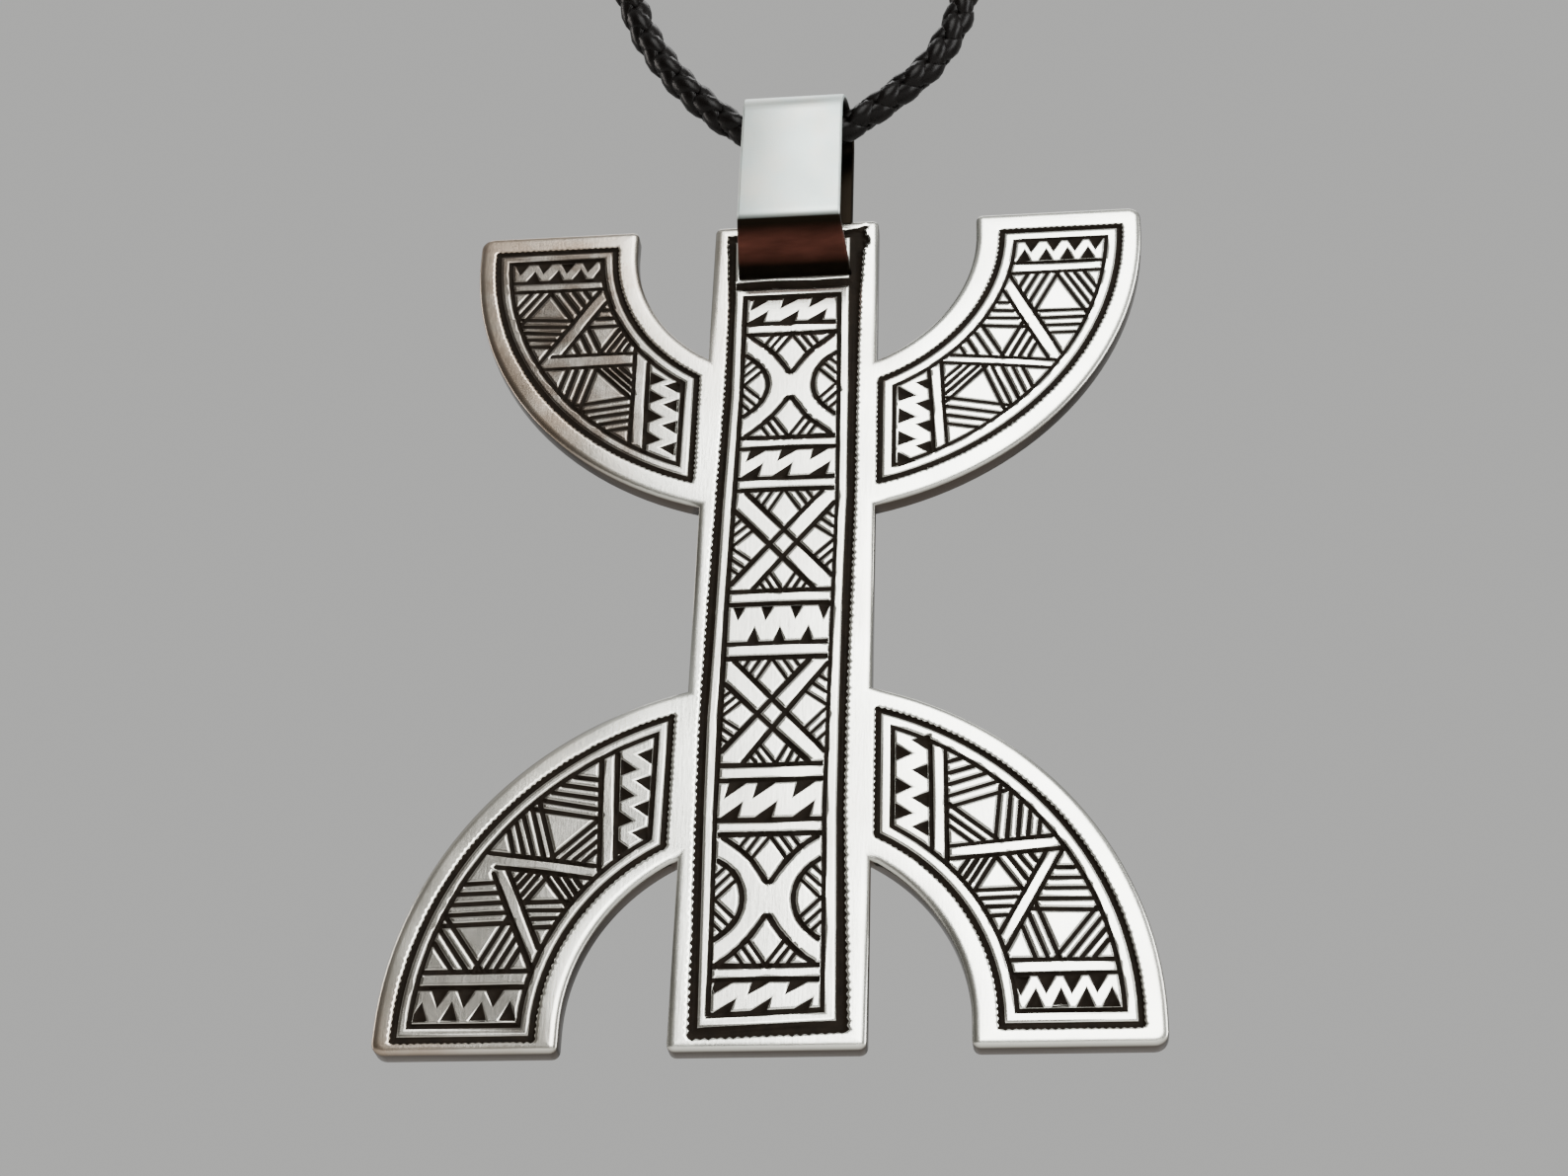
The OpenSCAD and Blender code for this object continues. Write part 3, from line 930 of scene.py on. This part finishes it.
# The clasp
def make_clasp():
    """A turned barrel with a shallow groove near each end and a socket for the cord in each end."""
    half, r = CLASP_L / 2, CLASP_D / 2
    bore = CORD_D / 2 + SOCKET_ROOM
    side = [(half - SOCKET_DEPTH, 0.05), (half - SOCKET_DEPTH, bore), (half - 0.2, bore), (half, bore + 0.2),
            (half, r - 0.4), (half - 0.12, r - 0.12), (half - 0.4, r), (half - 1.5, r),
            (half - 1.65, r - 0.2), (half - 1.95, r - 0.2), (half - 2.1, r), (0, r)]
    profile = side + [(-x, radius) for x, radius in reversed(side[:-1])]
    count = 48
    rings = [[(x, CLASP_D / 2 + radius * math.cos(TURN * k / count), radius * math.sin(TURN * k / count))
              for k in range(count)] for x, radius in profile]
    points, faces = skin(rings[::-1])
    return mesh_object("clasp_barrel", points, faces)


engrave_bar()
for arm in ARMS:
    engrave_arm(arm)
cord = make_cord()
plate = make_plate()
bail = make_bail()
clasp = make_clasp()

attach(cord, "strand")
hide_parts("cord")
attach(clasp, "strand")
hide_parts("clasp")
for piece in (plate, bail):
    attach(piece, "pendant")
    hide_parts("pendant")


# Materials
class Nodes:
    """A short way to write a material's nodes."""

    def __init__(self, name):
        self.material = bpy.data.materials.new(name)
        self.material.use_nodes = True
        self.tree = self.material.node_tree
        self.tree.nodes.clear()
        output = self.tree.nodes.new("ShaderNodeOutputMaterial")
        self.output = output.inputs["Surface"]
        self.coordinates = self.tree.nodes.new("ShaderNodeTexCoord").outputs["Object"]

    def link(self, value, socket):
        if isinstance(value, bpy.types.NodeSocket):
            self.tree.links.new(value, socket)
        else:
            socket.default_value = value

    def node(self, kind, output=0, settings=None, **inputs):
        made = self.tree.nodes.new("ShaderNode" + kind)
        for name, value in (settings or {}).items():
            setattr(made, name, value)
        for name, value in inputs.items():
            key = int(name[1:]) if name[0] == "i" and name[1:].isdigit() else name.replace("_", " ")
            self.link(value, made.inputs[key])
        return made.outputs[output]

    def noise(self, scale, detail=3.0, stretch=None, roughness=0.5):
        vector = self.coordinates
        if stretch:
            vector = self.node("Mapping", Vector=vector, Scale=stretch)
        return self.node("TexNoise", Vector=vector, Scale=scale, Detail=detail, Roughness=roughness)

    def attribute(self, name):
        return self.node("Attribute", 2, {"attribute_name": name})

    def spread(self, value, low, high, to_low, to_high):
        return self.node("MapRange", i0=value, i1=low, i2=high, i3=to_low, i4=to_high)

    def mix(self, share, a, b):
        return self.node("Mix", 2, {"data_type": "RGBA"}, i0=share, i6=a, i7=b)

    def math(self, operation, a, b):
        return self.node("Math", settings={"operation": operation}, i0=a, i1=b)

    def bump(self, height, distance, strength, normal=None):
        made = self.tree.nodes.new("ShaderNodeBump")
        self.link(height, made.inputs["Height"])
        made.inputs["Distance"].default_value = distance
        made.inputs["Strength"].default_value = strength
        if normal:
            self.link(normal, made.inputs["Normal"])
        return made.outputs[0]

    def shader(self, **inputs):
        return self.node("BsdfPrincipled", **inputs)


SILVER = (0.92, 0.93, 0.86, 1)
SILVER_WARM = (0.78, 0.72, 0.62, 1)
SILVER_COOL = (0.60, 0.68, 0.66, 1)
RIM_PAINTED_SHADE_TINT = (0.46, 0.37, 0.29, 1)
FIELD_DULL_AND_SHADE_TINT = (0.165, 0.138, 0.115, 1)
SIDE_PAINTED_SHADE = (0.055, 0.045, 0.038, 1)
NIELLO = (0.004, 0.003, 0.002, 1)
NIELLO_WORN = (0.016, 0.011, 0.007, 1)
PAINTED_SHADE_DARK = (0.008, 0.006, 0.004, 1)
PAINTED_REFLECTION_BROWN = (0.14, 0.05, 0.038, 1)
LEATHER = (0.002, 0.0016, 0.0016, 1)
LEATHER_WORN = (0.005, 0.004, 0.0036, 1)
CLASP_METAL = (0.74, 0.74, 0.71, 1)
FLOOR_PALE = (0.78, 0.77, 0.75, 1)


def silver_grain(n):
    """Waves, fine scratches and a grain on the metal, as a normal."""
    wave = n.bump(n.noise(95, 1), 0.0006, 0.25)
    scratches = n.math("ADD", n.noise(700, 2, (1, 1, 9)), n.noise(700, 2, (9, 1, 1)))
    return n.bump(n.noise(2600, 4, roughness=0.6), 0.00001, 0.4, n.bump(scratches, 0.00002, 0.16, wave))


def engraved_silver():
    """Polished silver, with a duller tint and painted shade in its fields, painted brownish shade and
    reflection on its rims, painted shade on its sides, and black in its cuts.
    """
    n = Nodes("engraved_silver")
    colour = n.mix(n.spread(n.noise(90, 4), 0.52, 0.75, 0, 0.35), SILVER, SILVER_WARM)
    uneven = n.spread(n.noise(420, 3), 0.3, 0.7, 0.8, 1.15)
    # Painted brownish shade and reflection on the rims; duller tint with painted shade in the fields.
    for name, tint in (("warm", RIM_PAINTED_SHADE_TINT), ("dull", FIELD_DULL_AND_SHADE_TINT)):
        colour = n.mix(n.math("MULTIPLY", n.attribute(name), uneven), colour, tint)
    # Painted shade on the plate's side faces.
    colour = n.mix(n.attribute("side"), colour, SIDE_PAINTED_SHADE)
    black = n.mix(n.noise(1500, 3), NIELLO, NIELLO_WORN)
    filled = n.spread(n.attribute("cut"), 0.02, 0.16, 0, 1)
    rough = n.spread(n.noise(180, 3), 0.3, 0.7, 0.19, 0.28)
    shader = n.shader(Base_Color=n.mix(filled, colour, black), Metallic=n.math("SUBTRACT", 1.0, filled),
                      Roughness=n.spread(filled, 0, 1, rough, 0.65), Specular_IOR_Level=0.07,
                      Normal=silver_grain(n))
    n.link(shader, n.output)
    return n.material


def plain_silver():
    """Satin silver with painted dark shade on the bail's inner side and on its underside from the foot to
    the fold, with a painted brown reflection part way up.
    """
    n = Nodes("plain_silver")
    colour = n.mix(n.spread(n.noise(300, 4), 0.45, 0.75, 0, 0.55), SILVER_COOL, SILVER_WARM)
    streaks = n.spread(n.noise(900, 3, (0.3, 1, 1)), 0.3, 0.7, 0.45, 1)
    # Painted dark shade with a painted brown reflection on the bail's inner side and underside.
    stain = n.mix(n.math("MULTIPLY", n.attribute("glow"), streaks), PAINTED_SHADE_DARK, PAINTED_REFLECTION_BROWN)
    rough = n.spread(n.noise(180, 3), 0.3, 0.7, 0.36, 0.48)
    shader = n.shader(Base_Color=n.mix(n.attribute("dull"), colour, stain), Metallic=1.0, Roughness=rough,
                      Normal=silver_grain(n))
    n.link(shader, n.output)
    return n.material


def leather_material():
    n = Nodes("black_leather")
    grain = n.noise(5200, 4, roughness=0.65)
    colour = n.mix(n.noise(420, 3), LEATHER, LEATHER_WORN)
    rough = n.spread(grain, 0.3, 0.7, 0.24, 0.36)
    relief = n.bump(grain, 0.00002, 0.4)
    shader = n.shader(Base_Color=colour, Roughness=rough, Specular_IOR_Level=0.1, Normal=relief)
    n.link(shader, n.output)
    return n.material


def clasp_material():
    n = Nodes("clasp_metal")
    turned = n.noise(1500, 2, (20, 1, 1))
    rough = n.spread(n.noise(600, 3), 0.3, 0.7, 0.22, 0.38)
    relief = n.bump(turned, 0.00002, 0.4)
    shader = n.shader(Base_Color=CLASP_METAL, Metallic=1.0, Roughness=rough, Normal=relief)
    n.link(shader, n.output)
    return n.material


plate.data.materials.append(engraved_silver())
bail.data.materials.append(plain_silver())
cord.data.materials.append(leather_material())
clasp.data.materials.append(clasp_material())


# Stage
FLOOR_Z = -320
FLOOR_HALF = 3000


def make_floor():
    corners = [(x * FLOOR_HALF, y * FLOOR_HALF, FLOOR_Z) for x, y in ((-1, -1), (1, -1), (1, 1), (-1, 1))]
    floor = mesh_object("floor", corners, [(0, 1, 2, 3)])
    n = Nodes("floor")
    n.link(n.shader(Base_Color=FLOOR_PALE, Roughness=0.8), n.output)
    floor.data.materials.append(n.material)


def area_light(name, at, aim, size, power, colour=(1, 1, 1)):
    data = bpy.data.lights.new(name, "AREA")
    data.shape = "RECTANGLE"
    data.size, data.size_y = size
    data.energy = power
    data.color = colour
    light = bpy.data.objects.new(name, data)
    at, aim = Vector(at), Vector(aim)
    light.location = at
    light.rotation_euler = (aim - at).to_track_quat("-Z", "Y").to_euler()
    bpy.context.scene.collection.objects.link(light)


def make_lights():
    aim = PENDANT @ Vector((0, 0, 0))
    area_light("front_box", aim + Vector((0.12, -1.0, 0.62)), aim, (0.54, 0.9), 14.0, (1.0, 1.0, 0.98))
    area_light("right_box", aim + Vector((0.9, -0.35, 0.3)), aim, (0.3, 0.8), 8)
    area_light("left_box", aim + Vector((-0.9, 0.1, 0.25)), aim, (0.2, 0.7), 4, (1.0, 0.93, 0.88))
    area_light("top_box", aim + Vector((0.0, 0.3, 1.0)), aim, (0.8, 0.5), 3)


WORLD_PALE = (0.50, 0.50, 0.49, 1)
WORLD_DIM = (0.14, 0.132, 0.12, 1)
DIM_SIDE = Vector((-0.6, -0.75, 0.25)).normalized()


def make_world():
    """Pale all round, and dimmer and warmer towards the front left."""
    world = bpy.data.worlds.new("studio")
    world.use_nodes = True
    tree = world.node_tree
    back = tree.nodes["Background"]
    aim = tree.nodes.new("ShaderNodeTexCoord").outputs["Generated"]
    dot = tree.nodes.new("ShaderNodeVectorMath")
    dot.operation = "DOT_PRODUCT"
    dot.inputs[1].default_value = DIM_SIDE
    spread = tree.nodes.new("ShaderNodeMapRange")
    spread.interpolation_type = "SMOOTHSTEP"
    spread.inputs["From Min"].default_value = 0.72
    spread.inputs["From Max"].default_value = 0.95
    colour = tree.nodes.new("ShaderNodeMix")
    colour.data_type = "RGBA"
    colour.inputs[6].default_value = WORLD_PALE
    colour.inputs[7].default_value = WORLD_DIM
    tree.links.new(aim, dot.inputs[0])
    tree.links.new(dot.outputs["Value"], spread.inputs["Value"])
    tree.links.new(spread.outputs["Result"], colour.inputs[0])
    tree.links.new(colour.outputs[2], back.inputs["Color"])
    bpy.context.scene.world = world


make_floor()
make_lights()
make_world()
